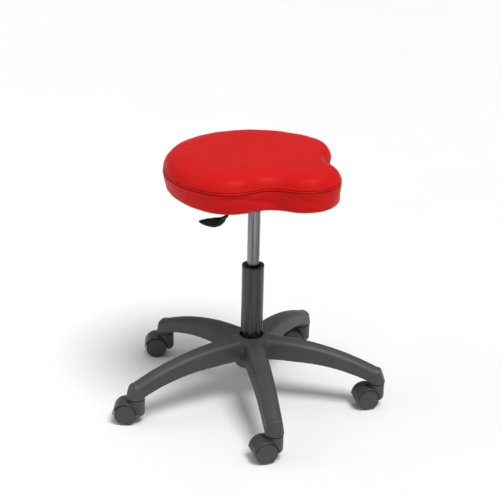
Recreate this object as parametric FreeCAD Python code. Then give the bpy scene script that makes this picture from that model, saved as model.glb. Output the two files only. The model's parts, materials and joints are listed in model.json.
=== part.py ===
"""Adjustable swivel stool: saddle cushion, gas lift, five-arm base on twin-wheel casters.

Frame: origin on the floor at the swivel axis, +Z up, the cushion's nose towards -Y and the
height lever towards -X.  Millimetres.
"""
import FreeCAD, Part
import math
import os

V = FreeCAD.Vector
os.makedirs("parts", exist_ok=True)

# ---- seat cushion -------------------------------------------------------------------------
SEAT_BOTTOM = 516.5          # lower edge of the cushion's side band
SEAT_TOP = 597.0             # flat crown of the cushion
NOSE_CENTRE = 132.5          # distance of the nose arc's centre from the swivel axis
NOSE_RADIUS = 79.0
REAR_RADIUS = 198.0          # centred on the swivel axis
SHOULDER_RADIUS = 90.0       # tangent inside the rear arc
SHOULDER_ANGLE = 83.5        # direction of the shoulder centres from the nose
NOTCH_RADIUS = 74.0          # concave arc of the thigh cut-outs
TOP_ROUND = 22.0
BOTTOM_ROUND = 13.0
COVER_THICKNESS = 1.6
HEM_WIDTH = 28.0             # the cover is turned under the board by this much
FOAM_GAP = 0.3
BOARD_THICKNESS = 12.0
BOARD_INSET = 14.0
UNDER_COVER_THICKNESS = 0.8
UNDER_COVER_INSET = 16.0
STAPLE_COUNT = 36
STAPLE_INSET = 20.0
STAPLE_SLANT = 20.0          # the crowns lie askew to the edge by this many degrees
TEE_NUT_FLANGE = (10.0, 1.6)  # radius and thickness
TEE_NUT_BARREL = (5.2, 9.0)   # radius and length
TEE_NUT_BORE = 4.0
STAPLE_SIZE = (10.0, 1.2, 0.7)

# ---- seat plate and lever -----------------------------------------------------------------
PLATE_SIZE = 150.0
PLATE_CORNER = 14.0
PLATE_THICKNESS = 2.5
CHANNEL_WIDTH = 62.0
CHANNEL_LENGTH = 112.0
CHANNEL_DEPTH = 30.0
SCREW_SPACING = 112.0
SCREW_RADIUS = 3.9
SCREW_HEAD_FLATS = 13.0
SCREW_HEAD_HEIGHT = 5.3
WASHER_RADIUS = 7.2
WASHER_THICKNESS = 2.0
LEVER_PIVOT_X = -30.0
LEVER_AXIS_Z = 502.0
LEVER_PIN_RADIUS = 3.0
LEVER_TUBE_RADIUS = 6.0      # cross tube that turns on the pin
LEVER_ROD_RADIUS = 4.0
LEVER_INNER_END_X = 4.0      # past the swivel axis, over the valve pin
LEVER_DROP = 27.5            # the rod bends down by this much before the paddle
LEVER_DROP_ANGLE = 50.0
LEVER_BEND_X = -74.0
PADDLE_START_X = -104.0
PADDLE_END_X = -188.0
PADDLE_ROLL = 54.0           # the paddle's face leans towards the nose side
PADDLE_RISE = 17.0           # the paddle's tip is this much higher than its root
PADDLE_SAG = 3.0             # and its middle sags by this much
PADDLE_ROD_DEPTH = 18.0      # length of rod inside the paddle

# ---- gas lift -----------------------------------------------------------------------------
CYLINDER_RADIUS = 14.0
CYLINDER_WALL = 1.2
CYLINDER_BOTTOM = 265.0
CYLINDER_TOP = 492.0
CYLINDER_HEAD = 12.0         # solid end of the cylinder around the valve pin
CYLINDER_CHAMFER = 1.2
GUIDE_LENGTH = 16.0
SOCKET_BOTTOM = 464.0
SOCKET_RADIUS = 18.0
VALVE_PIN_RADIUS = 3.0
VALVE_PIN_TOP = 497.4
ROD_RADIUS = 5.0
ROD_BOTTOM = 86.0
ROD_TOP = 305.0
PISTON_LENGTH = 13.0
PISTON_CLEARANCE = 0.4
SEAL_GROOVE = (9.5, 6.0, 2.4)    # below the rod's top from, to, and depth
COLLAR_RADIUS = 8.0
COLLAR_BOTTOM = 101.8
COLLAR_THICKNESS = 3.0
BOTTOM_PLATE_Z = 91.0
BOTTOM_PLATE_THICKNESS = 3.0
CLIP_RADIUS = 9.5
CLIP_DROP = (2.2, 1.0)       # faces of the clip below the bottom plate
THRUST_WASHER_RADIUS = 14.0
THRUST_WASHER_THICKNESS = 1.5
BALL_COUNT = 9
BALL_RADIUS = 2.0
BALL_CIRCLE = 9.6
BALL_GAP = 0.3
CAGE_RADIUS = 13.0
CAGE_HALF_THICKNESS = 0.8
BUMP_STOP_RADIUS = 11.0
BUMP_STOP_LENGTH = 12.0
RUNNING_GAP = 0.05
STANDPIPE_RADIUS = 25.0
STANDPIPE_BORE = 23.0
STANDPIPE_TOP = 328.5
BUSH_TOP = 331.5
BUSH_BOTTOM = 236.0
BUSH_MOUTH_RADIUS = 18.2     # recess round the cylinder at the top of the bush
BUSH_MOUTH_DEPTH = 9.0
BUSH_EDGE = 1.4
FLUTE_COUNT = 8
FLUTE_TOP = 206.0
FLUTE_BOTTOM = 162.0         # the fluted lobes end here, just above the hub
FLUTE_WIDTH = 3.6            # radius of a groove at its lower end
FLUTE_FIRST_ANGLE = 235.5
NECK_RADIUS = 22.3           # tapered end of the standpipe, in the hub
NECK_FOOT_RADIUS = 21.0
NECK_BORE = 19.0
NECK_OVERLAP = 6.0           # the neck runs up inside the fluted end by this much

# ---- five-arm base ------------------------------------------------------------------------
ARM_COUNT = 5
FIRST_ARM_ANGLE = 13.3
CASTER_CIRCLE = 291.0        # radius of the circle through the caster stems
HUB_BOTTOM = 83.0
HUB_TOP = 157.5
HUB_RADIUS = 44.0
MOUTH_RADIUS = 27.2
MOUTH_DEPTH = 12.0
ARCH_APEX_X = 30.0           # the ridge of an arm is an arc that starts level here
ARCH_APEX_Z = 155.7
ARCH_RADIUS = 600.0
SHOULDER_DROP = 4.4          # from the ridge to the rounded edge of the top
FLANK_DROP = 15.0            # from the ridge to the upright side
SILL_START_X = 103.0         # the lower edge of an arm is level up to here, then an arc
SILL_Z = 106.0
SILL_RADIUS = 421.0
ARM_HALF_WIDTH_HUB = 28.0
ARM_HALF_WIDTH_TIP = 21.6
ARM_WALL = 3.6
ARM_STATIONS = (38.0, 65.0, 100.0, 145.0, 190.0, 235.0, 265.0, CASTER_CIRCLE)
CAVITY_STATIONS = (56.0, 100.0, 145.0, 190.0, 235.0, 266.0)
RIB_POSITIONS = (92.0, 132.0, 172.0, 212.0, 246.0)
RIB_THICKNESS = 2.4
RIB_LIFT = 5.0               # the ribs end this far above the arm's lower edge
TIP_SLOPE = 23.0             # lean of the cut end of an arm from the upright
TIP_REACH = 22.4             # of the cut from the stem, at the socket face
GRIP_GROOVE = (14.0, 9.0, 1.0)   # below the stem's top from, to, and depth
SOCKET_FACE = 60.0           # underside of the caster socket
SOCKET_FACE_RADIUS = 20.0

# ---- casters ------------------------------------------------------------------------------
WHEEL_RADIUS = 25.0
WHEEL_WIDTH = 17.0
WHEEL_INNER_FACE = 5.9
TRAIL = 22.5                 # horizontal distance from the stem to the axle
HOOD_RADIUS = 28.9
HOOD_HALF_WIDTH = 22.5
HOOD_TOP = 58.6
HOOD_SKIRT_Z = 27.0          # lower edge of the hood round the wheels
WEB_BOTTOM = 14.0            # the web between the wheels carries the axle
HOOD_ROUND = 2.2
BOSS_BOTTOM = 17.0
BOSS_ROUND = 9.0
WHEEL_WELL_RADIUS = 26.7
WEB_HALF_THICKNESS = 5.2
STEM_RADIUS = 5.5
STEM_TOP = 92.0
STEM_FOOT = 36.0             # the stem is moulded into the hood down to here
STEM_GROOVE = (12.5, 2.0, 0.9)   # below the stem's top, height and depth
GRIP_RING_PROUD = 0.4
AXLE_RADIUS = 3.0
AXLE_END_GAP = 4.2           # from the axle's end to the wheel's outer face
CASTER_HEADINGS = (134.0, 132.0, 127.0, 148.0, 145.0)    # direction of each caster's trail
AXIS_Z = V(0, 0, 1)


# ---- helpers ------------------------------------------------------------------------------
def save(node, shape):
    """Write one node; several solids are kept together as a compound."""
    if shape.ShapeType == "Compound" and len(shape.Solids) == 1:
        shape = shape.Solids[0]
    shape.exportStep("parts/" + node + ".step")


def cylinder(radius, low, high, x=0.0, y=0.0):
    return Part.makeCylinder(radius, high - low, V(x, y, low))


def cone(low_radius, high_radius, low, high):
    return Part.makeCone(low_radius, high_radius, high - low, V(0, 0, low))


def ring(outer, inner, low, high, x=0.0, y=0.0):
    return cylinder(outer, low, high, x, y).cut(cylinder(inner, low - 1, high + 1, x, y))


def box(low, high):
    return Part.makeBox(high[0] - low[0], high[1] - low[1], high[2] - low[2], V(*low))


def turned(shape, angle, centre=V(0, 0, 0), axis=AXIS_Z):
    copy = shape.copy()
    copy.rotate(centre, axis, angle)
    return copy


def moved(shape, x, y, z=0.0):
    copy = shape.copy()
    copy.translate(V(x, y, z))
    return copy


def revolved(profile, angle=360.0):
    """Solid of revolution about Z from a closed list of (radius, height) points."""
    points = [V(radius, 0, height) for radius, height in profile]
    face = Part.Face(Part.makePolygon(points + points[:1]))
    return face.revolve(V(0, 0, 0), AXIS_Z, angle)


def arc_about(centre, start, end):
    """Arc of less than half a turn from start to end about a centre."""
    middle = (start - centre) + (end - centre)
    middle.normalize()
    return Part.Arc(start, centre + middle * (start - centre).Length, end).toShape()


# ---- cushion ------------------------------------------------------------------------------
def seat_outline(inset, height):
    """Closed wire of the saddle plan, offset inwards by inset, at the given height."""
    shoulder_reach = REAR_RADIUS - SHOULDER_RADIUS
    angle = math.radians(SHOULDER_ANGLE)
    nose = V(0, -NOSE_CENTRE, height)
    shoulder = V(shoulder_reach * math.sin(angle), -shoulder_reach * math.cos(angle), height)
    between = shoulder - nose
    gap = between.Length
    from_nose = NOSE_RADIUS + NOTCH_RADIUS
    from_shoulder = SHOULDER_RADIUS + NOTCH_RADIUS
    along = (from_nose ** 2 - from_shoulder ** 2 + gap ** 2) / (2 * gap)
    aside = math.sqrt(from_nose ** 2 - along ** 2)
    along_unit = between / gap
    aside_unit = V(-along_unit.y, along_unit.x, 0) * -1
    notch = nose + along_unit * along + aside_unit * aside
    axis_point = V(0, 0, height)

    nose_tip = nose + V(0, -(NOSE_RADIUS - inset), 0)
    nose_end = nose + (notch - nose) / from_nose * (NOSE_RADIUS - inset)
    notch_end = shoulder + (notch - shoulder) / from_shoulder * (SHOULDER_RADIUS - inset)
    shoulder_end = axis_point + (shoulder - axis_point) / shoulder_reach * (REAR_RADIUS - inset)
    rear = V(0, REAR_RADIUS - inset, height)
    side = [
        (nose, nose_tip, nose_end),
        (notch, nose_end, notch_end),
        (shoulder, notch_end, shoulder_end),
        (axis_point, shoulder_end, rear),
    ]
    edges = [arc_about(*arc) for arc in side]
    for centre, start, end in reversed(side):
        mirror = [V(-point.x, point.y, point.z) for point in (centre, end, start)]
        edges.append(arc_about(*mirror))
    return Part.Wire(edges)


def seat_slab(inset, low, high):
    return Part.Face(seat_outline(inset, low)).extrude(V(0, 0, high - low))


def rounded_slab(inset, low, high, top_round, bottom_round):
    """Slab of the seat plan with its top and bottom edges rounded."""
    slab = seat_slab(inset, low, high)
    top = [edge for edge in slab.Edges if edge.BoundBox.ZMin > high - 0.01]
    slab = slab.makeFillet(top_round, top)
    bottom = [edge for edge in slab.Edges if edge.BoundBox.ZMax < low + 0.01]
    return slab.makeFillet(bottom_round, bottom)


def screw_places():
    half = SCREW_SPACING / 2
    return [(x, y) for x in (-half, half) for y in (-half, half)]


def make_cushion():
    """Cover, foam, board and under cover of the seat."""
    hem_top = SEAT_BOTTOM + COVER_THICKNESS
    board_top = hem_top + BOARD_THICKNESS
    outer = rounded_slab(0, SEAT_BOTTOM, SEAT_TOP, TOP_ROUND, BOTTOM_ROUND)
    hollow = rounded_slab(COVER_THICKNESS, hem_top, SEAT_TOP - COVER_THICKNESS,
                          TOP_ROUND - COVER_THICKNESS, BOTTOM_ROUND - COVER_THICKNESS)
    opening = seat_slab(HEM_WIDTH, SEAT_BOTTOM - 1, hem_top + 1)
    save("seat_cover", outer.cut(hollow).cut(opening))

    board = seat_slab(BOARD_INSET, hem_top, board_top)
    board = board.fuse(seat_slab(HEM_WIDTH + FOAM_GAP, SEAT_BOTTOM, hem_top)).removeSplitter()
    foam_inset = COVER_THICKNESS + FOAM_GAP
    foam = rounded_slab(foam_inset, hem_top + FOAM_GAP, SEAT_TOP - foam_inset,
                        TOP_ROUND - foam_inset, BOTTOM_ROUND - foam_inset)
    foam = foam.cut(seat_slab(BOARD_INSET - FOAM_GAP, SEAT_BOTTOM, board_top))

    flange_radius, flange_thickness = TEE_NUT_FLANGE
    barrel_radius, barrel_length = TEE_NUT_BARREL
    nuts = []
    screws = []
    washers = []
    under_cover_bottom = SEAT_BOTTOM - UNDER_COVER_THICKNESS
    plate_bottom = under_cover_bottom - PLATE_THICKNESS
    washer_bottom = plate_bottom - WASHER_THICKNESS
    for x, y in screw_places():
        nut = cylinder(flange_radius, board_top, board_top + flange_thickness, x, y)
        nut = nut.fuse(cylinder(barrel_radius, board_top - barrel_length, board_top, x, y))
        nuts.append(nut.cut(cylinder(TEE_NUT_BORE, board_top - 20, board_top + 5, x, y)))
        board = board.cut(cylinder(barrel_radius + RUNNING_GAP, SEAT_BOTTOM - 1, board_top + 1, x, y))
        foam = foam.cut(cylinder(flange_radius + 0.5, board_top - 1, board_top + 3.0, x, y))
        washers.append(ring(WASHER_RADIUS, SCREW_RADIUS + 0.2, washer_bottom, plate_bottom, x, y))
        screws.append(hex_screw(washer_bottom, board_top + 0.5, x, y))
    save("seat_board", board)
    save("seat_foam", foam)
    save("tee_nuts", Part.makeCompound(nuts))
    save("seat_screws", Part.makeCompound(screws))
    save("lock_washers", Part.makeCompound(washers))

    sheet = seat_slab(UNDER_COVER_INSET, under_cover_bottom, SEAT_BOTTOM)
    for x, y in screw_places():
        sheet = sheet.cut(cylinder(4.6, under_cover_bottom - 1, SEAT_BOTTOM + 1, x, y))
    save("under_cover", sheet)
    save("cover_staples", Part.makeCompound(make_staples(under_cover_bottom)))


def hex_screw(seat_height, end_height, x, y):
    """Hex-head screw whose head hangs below seat_height and whose shank rises to end_height."""
    corner = SCREW_HEAD_FLATS / math.sqrt(3)
    corners = [V(x + corner * math.cos(math.radians(60 * k)),
                 y + corner * math.sin(math.radians(60 * k)),
                 seat_height - SCREW_HEAD_HEIGHT) for k in range(6)]
    head = Part.Face(Part.makePolygon(corners + corners[:1]))
    head = head.extrude(V(0, 0, SCREW_HEAD_HEIGHT))
    return head.fuse(cylinder(SCREW_RADIUS, seat_height, end_height, x, y))


def make_staples(ceiling):
    """Staple crowns lying on the under cover, evenly spaced along its edge."""
    path = seat_outline(STAPLE_INSET, ceiling)
    points = path.discretize(Number=STAPLE_COUNT + 1)[:-1]
    length, width, height = STAPLE_SIZE
    staples = []
    for index, point in enumerate(points):
        ahead = points[(index + 1) % STAPLE_COUNT]
        behind = points[index - 1]
        heading = math.degrees(math.atan2(ahead.y - behind.y, ahead.x - behind.x))
        crown = box((-length / 2, -width / 2, ceiling - height), (length / 2, width / 2, ceiling))
        staples.append(moved(turned(crown, heading + STAPLE_SLANT), point.x, point.y))
    return staples


# ---- seat plate and lever -----------------------------------------------------------------
def make_seat_plate():
    """Pressed plate under the seat: a flange and a downward channel open at both ends."""
    top = SEAT_BOTTOM - UNDER_COVER_THICKNESS
    low = top - PLATE_THICKNESS
    half = PLATE_SIZE / 2
    flange = box((-half, -half, low), (half, half, top))
    upright = [edge for edge in flange.Edges if abs(edge.Length - PLATE_THICKNESS) < 0.01]
    flange = flange.makeFillet(PLATE_CORNER, upright)
    half_width = CHANNEL_WIDTH / 2
    half_length = CHANNEL_LENGTH / 2
    floor = low - CHANNEL_DEPTH
    channel = box((-half_length, -half_width, floor), (half_length, half_width, top))
    corners = [edge for edge in channel.Edges
               if edge.BoundBox.ZMax < floor + 0.01 and edge.Length > CHANNEL_LENGTH - 1]
    channel = channel.makeFillet(6.0, corners)
    inner = box((-half_length - 1, -half_width + PLATE_THICKNESS, floor + PLATE_THICKNESS),
                (half_length + 1, half_width - PLATE_THICKNESS, low))
    inner_corners = [edge for edge in inner.Edges
                     if edge.BoundBox.ZMax < floor + PLATE_THICKNESS + 0.01
                     and edge.Length > CHANNEL_LENGTH - 1]
    inner = inner.makeFillet(3.5, inner_corners)
    plate = flange.fuse(channel).cut(inner)
    plate = plate.cut(cylinder(SOCKET_RADIUS, floor - 1, floor + PLATE_THICKNESS + 1))
    for x, y in screw_places():
        plate = plate.cut(cylinder(4.5, low - 1, top + 1, x, y))
    pin_hole = Part.makeCylinder(LEVER_PIN_RADIUS, CHANNEL_WIDTH + 10,
                                 V(LEVER_PIVOT_X, -half_width - 5, LEVER_AXIS_Z), V(0, 1, 0))
    save("seat_plate", plate.cut(pin_hole).removeSplitter())

    pin = Part.makeCylinder(LEVER_PIN_RADIUS, CHANNEL_WIDTH + 4,
                            V(LEVER_PIVOT_X, -half_width - 2, LEVER_AXIS_Z), V(0, 1, 0))
    save("lever_pin", pin)


def make_lever():
    """Bent rod with a cross tube at its pivot, and the paddle moulded over its outer end."""
    drop_x = LEVER_DROP / math.tan(math.radians(LEVER_DROP_ANGLE))
    inner_end = V(LEVER_INNER_END_X, 0, LEVER_AXIS_Z)
    bend = V(LEVER_BEND_X, 0, LEVER_AXIS_Z)
    foot = V(LEVER_BEND_X - drop_x, 0, LEVER_AXIS_Z - LEVER_DROP)
    outer_end = paddle_centre(PADDLE_ROD_DEPTH / (PADDLE_START_X - PADDLE_END_X))
    rod = Part.makeCylinder(LEVER_ROD_RADIUS, (bend - inner_end).Length, inner_end, bend - inner_end)
    for start, end in ((bend, foot), (foot, outer_end)):
        rod = rod.fuse(Part.makeCylinder(LEVER_ROD_RADIUS, (end - start).Length, start, end - start))
        rod = rod.fuse(Part.makeSphere(LEVER_ROD_RADIUS, start))
    tube_half = CHANNEL_WIDTH / 2 - PLATE_THICKNESS - 1.0
    tube = Part.makeCylinder(LEVER_TUBE_RADIUS, 2 * tube_half,
                             V(LEVER_PIVOT_X, -tube_half, LEVER_AXIS_Z), V(0, 1, 0))
    bore = Part.makeCylinder(LEVER_PIN_RADIUS + RUNNING_GAP, CHANNEL_WIDTH,
                             V(LEVER_PIVOT_X, -CHANNEL_WIDTH / 2, LEVER_AXIS_Z), V(0, 1, 0))
    rod = rod.fuse(tube).cut(bore).removeSplitter()
    paddle = make_paddle().cut(rod)
    save("lever_rod", rod)
    save("lever_paddle", paddle)


def paddle_centre(share):
    """Point on the paddle's middle line at a share of its length from the root."""
    x = PADDLE_START_X + share * (PADDLE_END_X - PADDLE_START_X)
    lift = PADDLE_RISE * share ** 2 - PADDLE_SAG * math.sin(math.pi * share)
    return V(x, 0, LEVER_AXIS_Z - LEVER_DROP + lift)


def make_paddle():
    """Leaf-shaped grip: elliptical sections that swell from the neck and close at the tip."""
    stations = ((0.0, 5.8, 5.6), (0.12, 7.0, 5.8), (0.25, 9.2, 5.4), (0.42, 11.6, 4.5),
                (0.58, 11.8, 3.9), (0.76, 9.6, 3.3), (0.9, 6.0, 2.6), (0.97, 3.2, 2.0), (1.0, 1.6, 1.3))
    wires = []
    for share, half_width, half_height in stations:
        centre = paddle_centre(share)
        ellipse = Part.Ellipse(centre, half_width, half_height)
        wire = Part.Wire(ellipse.toShape())
        wire.rotate(centre, V(0, 0, 1), 90)
        wire.rotate(centre, V(0, 1, 0), 90)
        wire.rotate(centre, V(1, 0, 0), PADDLE_ROLL)
        wires.append(wire)
    return Part.makeLoft(wires, True, False)


# ---- gas lift -----------------------------------------------------------------------------
def make_gas_lift():
    """Gas cylinder with its valve pin, and the piston rod that it slides on."""
    bore = CYLINDER_RADIUS - CYLINDER_WALL
    head_floor = CYLINDER_TOP - CYLINDER_HEAD
    shell = cylinder(CYLINDER_RADIUS, CYLINDER_BOTTOM, CYLINDER_TOP)
    shell = shell.cut(cylinder(bore, CYLINDER_BOTTOM - 1, head_floor))
    shell = shell.cut(cylinder(VALVE_PIN_RADIUS + RUNNING_GAP, head_floor - 1, CYLINDER_TOP + 1))
    top_edge = [edge for edge in shell.Edges
                if edge.BoundBox.ZMin > CYLINDER_TOP - 0.01 and edge.Length > 60]
    save("gas_cylinder", shell.makeChamfer(CYLINDER_CHAMFER, top_edge))
    save("rod_guide", ring(bore, ROD_RADIUS + RUNNING_GAP, CYLINDER_BOTTOM, CYLINDER_BOTTOM + GUIDE_LENGTH))
    save("valve_pin", cylinder(VALVE_PIN_RADIUS, head_floor - 6, VALVE_PIN_TOP))

    channel_top = SEAT_BOTTOM - UNDER_COVER_THICKNESS - PLATE_THICKNESS
    socket_top = channel_top - CHANNEL_DEPTH + PLATE_THICKNESS
    save("taper_socket", ring(SOCKET_RADIUS, CYLINDER_RADIUS, SOCKET_BOTTOM, socket_top))

    rod = cylinder(ROD_RADIUS, ROD_BOTTOM, ROD_TOP)
    collar_top = COLLAR_BOTTOM + COLLAR_THICKNESS
    save("piston_rod", rod.fuse(cylinder(COLLAR_RADIUS, COLLAR_BOTTOM, collar_top)).removeSplitter())
    groove_drop, groove_end, groove_depth = SEAL_GROOVE
    groove = ring(bore, bore - groove_depth, ROD_TOP - groove_drop, ROD_TOP - groove_end)
    piston = ring(bore - PISTON_CLEARANCE, ROD_RADIUS, ROD_TOP - 1 - PISTON_LENGTH, ROD_TOP - 1)
    save("piston", piston.cut(groove))
    seal = ring(bore - RUNNING_GAP, bore - groove_depth, ROD_TOP - groove_drop, ROD_TOP - groove_end)
    save("piston_seal", seal)
    save("bump_stop", ring(BUMP_STOP_RADIUS, ROD_RADIUS, collar_top, collar_top + BUMP_STOP_LENGTH))
    make_thrust_bearing()


def make_thrust_bearing():
    """Bottom plate, clip and ball bearing that carry the rod inside the hub."""
    plate_top = BOTTOM_PLATE_Z + BOTTOM_PLATE_THICKNESS
    save("bottom_plate", ring(NECK_BORE, ROD_RADIUS + RUNNING_GAP, BOTTOM_PLATE_Z, plate_top))
    clip_low, clip_high = (BOTTOM_PLATE_Z - drop for drop in CLIP_DROP)
    save("retaining_clip", ring(CLIP_RADIUS, ROD_RADIUS, clip_low, clip_high))
    washer_top = plate_top + THRUST_WASHER_THICKNESS
    save("lower_washer", ring(THRUST_WASHER_RADIUS, ROD_RADIUS + 0.4, plate_top, washer_top))
    ball_height = washer_top + BALL_GAP + BALL_RADIUS
    balls = []
    cage = ring(CAGE_RADIUS, ROD_RADIUS + 1.0, ball_height - CAGE_HALF_THICKNESS,
                ball_height + CAGE_HALF_THICKNESS)
    for index in range(BALL_COUNT):
        angle = math.radians(360.0 / BALL_COUNT * index)
        centre = V(BALL_CIRCLE * math.cos(angle), BALL_CIRCLE * math.sin(angle), ball_height)
        balls.append(Part.makeSphere(BALL_RADIUS, centre))
        pocket = cylinder(BALL_RADIUS + 0.1, ball_height - 3, ball_height + 3, centre.x, centre.y)
        cage = cage.cut(pocket)
    save("bearing_balls", Part.makeCompound(balls))
    save("bearing_cage", cage)
    save("upper_washer", ring(THRUST_WASHER_RADIUS, ROD_RADIUS, ball_height + BALL_RADIUS, COLLAR_BOTTOM))


def make_standpipe():
    """Outer tube whose lower end is swaged into flutes above a tapered neck."""
    body = cylinder(STANDPIPE_RADIUS, FLUTE_BOTTOM, STANDPIPE_TOP)
    lower_edge = [edge for edge in body.Edges if edge.BoundBox.ZMax < FLUTE_BOTTOM + 0.01]
    body = body.makeFillet(STANDPIPE_RADIUS - NECK_RADIUS - 0.3, lower_edge)
    for index in range(FLUTE_COUNT):
        groove = cone(FLUTE_WIDTH, 0.2, FLUTE_BOTTOM - 1, FLUTE_TOP)
        angle = FLUTE_FIRST_ANGLE + 360.0 / FLUTE_COUNT * index
        body = body.cut(turned(moved(groove, STANDPIPE_RADIUS + 0.4, 0), angle))
    neck = cone(NECK_FOOT_RADIUS, NECK_RADIUS, HUB_BOTTOM + 1, FLUTE_BOTTOM + NECK_OVERLAP)
    pipe = body.fuse(neck)
    shoulder = FLUTE_TOP + 6
    pipe = pipe.cut(cylinder(STANDPIPE_BORE, shoulder, STANDPIPE_TOP + 1))
    pipe = pipe.cut(cone(NECK_BORE, STANDPIPE_BORE, shoulder - 6, shoulder))
    pipe = pipe.cut(cylinder(NECK_BORE, HUB_BOTTOM, shoulder - 6))
    save("standpipe", pipe.removeSplitter())

    inner = CYLINDER_RADIUS + RUNNING_GAP
    sleeve = STANDPIPE_BORE - RUNNING_GAP
    rim = STANDPIPE_RADIUS + 0.2
    mouth = BUSH_MOUTH_RADIUS
    mouth_floor = BUSH_TOP - BUSH_MOUTH_DEPTH
    bush = revolved([
        (inner, BUSH_BOTTOM), (sleeve, BUSH_BOTTOM), (sleeve, STANDPIPE_TOP), (rim, STANDPIPE_TOP),
        (rim, BUSH_TOP - BUSH_EDGE), (rim - BUSH_EDGE, BUSH_TOP), (mouth + 1.0, BUSH_TOP),
        (mouth, BUSH_TOP - 1.2), (mouth, mouth_floor), (inner, mouth_floor),
    ])
    save("guide_bush", bush)


# ---- base ---------------------------------------------------------------------------------
def ridge_height(x):
    return ARCH_APEX_Z - ARCH_RADIUS + math.sqrt(ARCH_RADIUS ** 2 - (x - ARCH_APEX_X) ** 2)


def sill_height(x):
    past = max(0.0, x - SILL_START_X)
    return SILL_Z - SILL_RADIUS + math.sqrt(SILL_RADIUS ** 2 - past ** 2)


def arm_half_width(x):
    share = x / CASTER_CIRCLE
    return ARM_HALF_WIDTH_HUB + (ARM_HALF_WIDTH_TIP - ARM_HALF_WIDTH_HUB) * share


def arch_points(half_width, top):
    """Half of an arm's rounded top, from the side to the ridge, as (aside, height)."""
    return [(0.86 * half_width, top - FLANK_DROP), (0.62 * half_width, top - SHOULDER_DROP), (0.0, top)]


def arm_section(x, wall, bottom):
    """Closed inverted-U section of an arm at distance x, thinner by wall all round."""
    half_width = arm_half_width(x) - wall
    rise = arch_points(half_width, ridge_height(x) - wall)
    outline = [V(x, aside, height) for aside, height in rise]
    outline += [V(x, -aside, height) for aside, height in reversed(rise[:-1])]
    arch = Part.BSplineCurve()
    arch.interpolate(outline)
    right = V(x, half_width, bottom)
    left = V(x, -half_width, bottom)
    edges = [Part.makeLine(right, outline[0]), arch.toShape(),
             Part.makeLine(outline[-1], left), Part.makeLine(left, right)]
    return Part.Wire(edges)


def make_arm():
    """One arm along +X: arched shell with cross ribs, closed at its tip by the caster socket."""
    outer = Part.makeLoft([arm_section(x, 0, sill_height(x)) for x in ARM_STATIONS], True, False)
    cavity = Part.makeLoft([arm_section(x, ARM_WALL, sill_height(x) - 6) for x in CAVITY_STATIONS],
                           True, False)
    for x in RIB_POSITIONS:
        rib = box((x - RIB_THICKNESS / 2, -40, sill_height(x) + RIB_LIFT), (x + RIB_THICKNESS / 2, 40, 170))
        cavity = cavity.cut(rib)
    arm = outer.fuse(make_tip()).cut(cavity)
    slope = Part.makeBox(40, 80, 60, V(0, -40, 0))
    slope.rotate(V(0, 0, 0), V(0, 1, 0), -TIP_SLOPE)
    slope.translate(V(CASTER_CIRCLE + TIP_REACH, 0, SOCKET_FACE))
    arm = arm.cut(slope)
    bore = cylinder(STEM_RADIUS + RUNNING_GAP, SOCKET_FACE - 1, STEM_TOP + 1, CASTER_CIRCLE)
    groove_drop, groove_end, groove_depth = GRIP_GROOVE
    ring_groove = cylinder(STEM_RADIUS + groove_depth, STEM_TOP - groove_drop, STEM_TOP - groove_end,
                           CASTER_CIRCLE)
    return arm.cut(bore).cut(ring_groove)


def make_tip():
    """Rounded end of an arm, turned about the caster stem, with the flat socket face below."""
    top = ridge_height(CASTER_CIRCLE)
    half_width = arm_half_width(CASTER_CIRCLE)
    sill = sill_height(CASTER_CIRCLE)
    rise = arch_points(half_width, top)
    outline = [V(aside, 0, height) for aside, height in rise]
    outline += [V(-aside, 0, height) for aside, height in reversed(rise[:-1])]
    arch = Part.BSplineCurve()
    arch.interpolate(outline)
    half = arch.toShape().common(box((0, -1, 0), (100, 1, 200)))
    side = half.Vertexes[0].Point
    crown = half.Vertexes[-1].Point
    if side.x < crown.x:
        side, crown = crown, side
    foot = V(half_width, 0, sill)
    face_rim = V(SOCKET_FACE_RADIUS, 0, SOCKET_FACE)
    face_centre = V(0, 0, SOCKET_FACE)
    edges = [half.Edges[0], Part.makeLine(side, foot), Part.makeLine(foot, face_rim),
             Part.makeLine(face_rim, face_centre), Part.makeLine(face_centre, crown)]
    profile = Part.Face(Part.Wire(Part.__sortEdges__(edges)))
    end = profile.revolve(V(0, 0, 0), AXIS_Z, 180)
    end = moved(turned(end, -90), CASTER_CIRCLE, 0)
    socket = cylinder(SOCKET_FACE_RADIUS, SOCKET_FACE, top - 22, CASTER_CIRCLE)
    return end.fuse(socket)


def make_star_base():
    base = revolved([
        (0, HUB_BOTTOM), (HUB_RADIUS - 10, HUB_BOTTOM), (HUB_RADIUS - 7, HUB_BOTTOM + 3),
        (HUB_RADIUS, HUB_TOP - 38), (HUB_RADIUS, HUB_TOP - 12.5), (HUB_RADIUS - 2, HUB_TOP - 4.5),
        (HUB_RADIUS - 6, HUB_TOP - 1.6), (MOUTH_RADIUS + 3.8, HUB_TOP), (0, HUB_TOP),
    ])
    arm = make_arm()
    for index in range(ARM_COUNT):
        base = base.fuse(turned(arm, FIRST_ARM_ANGLE + 360.0 / ARM_COUNT * index))
    mouth_floor = HUB_TOP - MOUTH_DEPTH
    base = base.cut(cylinder(MOUTH_RADIUS, mouth_floor, HUB_TOP + 10))
    gap = RUNNING_GAP
    neck_top = FLUTE_BOTTOM + NECK_OVERLAP
    base = base.cut(cone(NECK_FOOT_RADIUS + gap, NECK_RADIUS + gap, HUB_BOTTOM + 1, neck_top))
    base = base.cut(cylinder(NECK_FOOT_RADIUS - 1.2, HUB_BOTTOM - 1, HUB_BOTTOM + 2))
    save("star_base", base.removeSplitter())


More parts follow.
